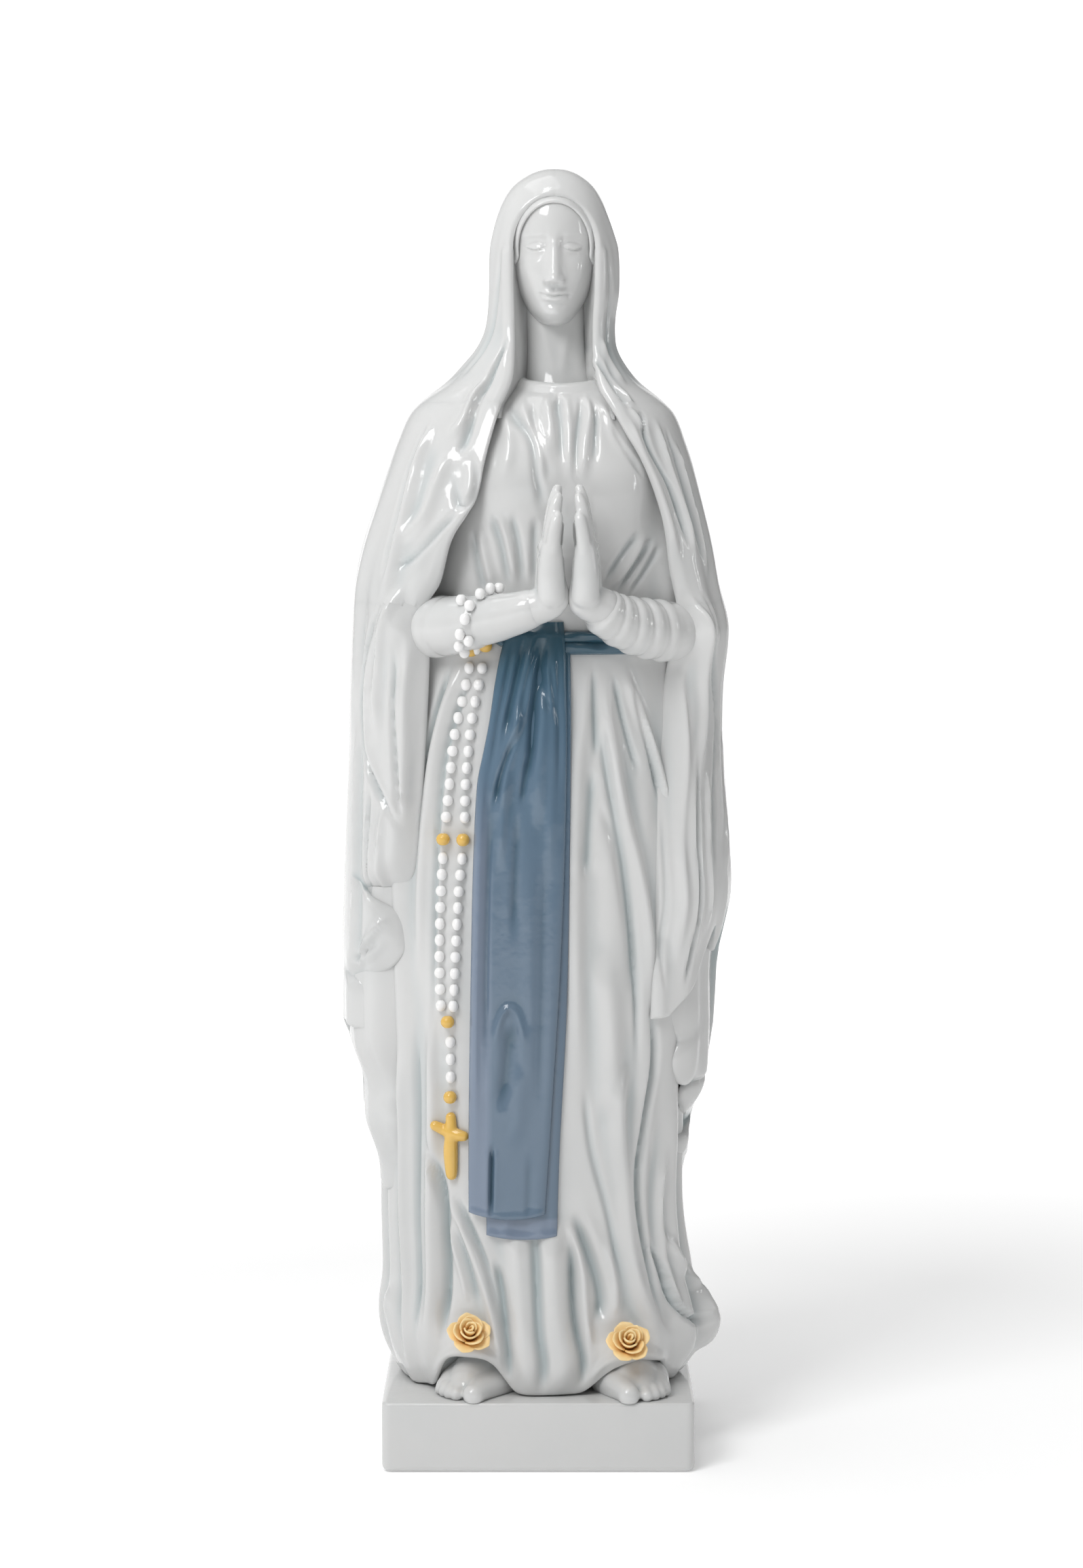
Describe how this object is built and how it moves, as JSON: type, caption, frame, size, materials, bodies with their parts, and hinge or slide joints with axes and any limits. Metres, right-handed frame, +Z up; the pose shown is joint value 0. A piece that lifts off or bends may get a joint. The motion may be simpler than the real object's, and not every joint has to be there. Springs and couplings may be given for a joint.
{
  "type": "madonna statue",
  "caption": "Glazed porcelain figure of a praying lady in veil, gown, blue sash and mantle, with a rosary and roses, on a rectangular plinth.",
  "frame": {"origin": "centre of the plinth's underside", "axes": "+Z up along the figure, -Y the way the figure faces, +X towards the figure's left hand"},
  "size_m": [0.1147, 0.0888, 0.37],
  "materials": {
    "white_porcelain": "gloss glaze, cool blue-green where it pools in the folds",
    "blue_glaze": "gloss slate-blue glaze, darker in the grooves",
    "white_beads": "gloss glaze",
    "yellow_glaze": "gloss pale gold-yellow glaze",
    "rose_glaze": "satin pale yellow glaze, lighter at the rims"
  },
  "bodies": {
    "root": {"plinth": "white_porcelain", "skirt": "white_porcelain", "bodice": "white_porcelain", "head": "white_porcelain", "head_cloth": "white_porcelain", "veil": "white_porcelain", "mantle": "white_porcelain", "right_mantle_fall": "white_porcelain", "left_mantle_fall": "white_porcelain", "belt": "blue_glaze", "sash_front_tail": "blue_glaze", "sash_rear_tail": "blue_glaze", "right_sleeve": "white_porcelain", "left_sleeve": "white_porcelain", "right_hand": "white_porcelain", "left_hand": "white_porcelain", "right_foot": "white_porcelain", "left_foot": "white_porcelain", "rosary_wrist_beads": "white_beads", "rosary_outer_strand": "white_beads", "rosary_inner_strand": "white_beads", "rosary_large_beads": "yellow_glaze", "rosary_drop_beads": "white_beads", "cross": "yellow_glaze", "right_rose_heart": "rose_glaze", "right_rose_petals": "rose_glaze", "left_rose_heart": "rose_glaze", "left_rose_petals": "rose_glaze"}
  },
  "joints": []
}
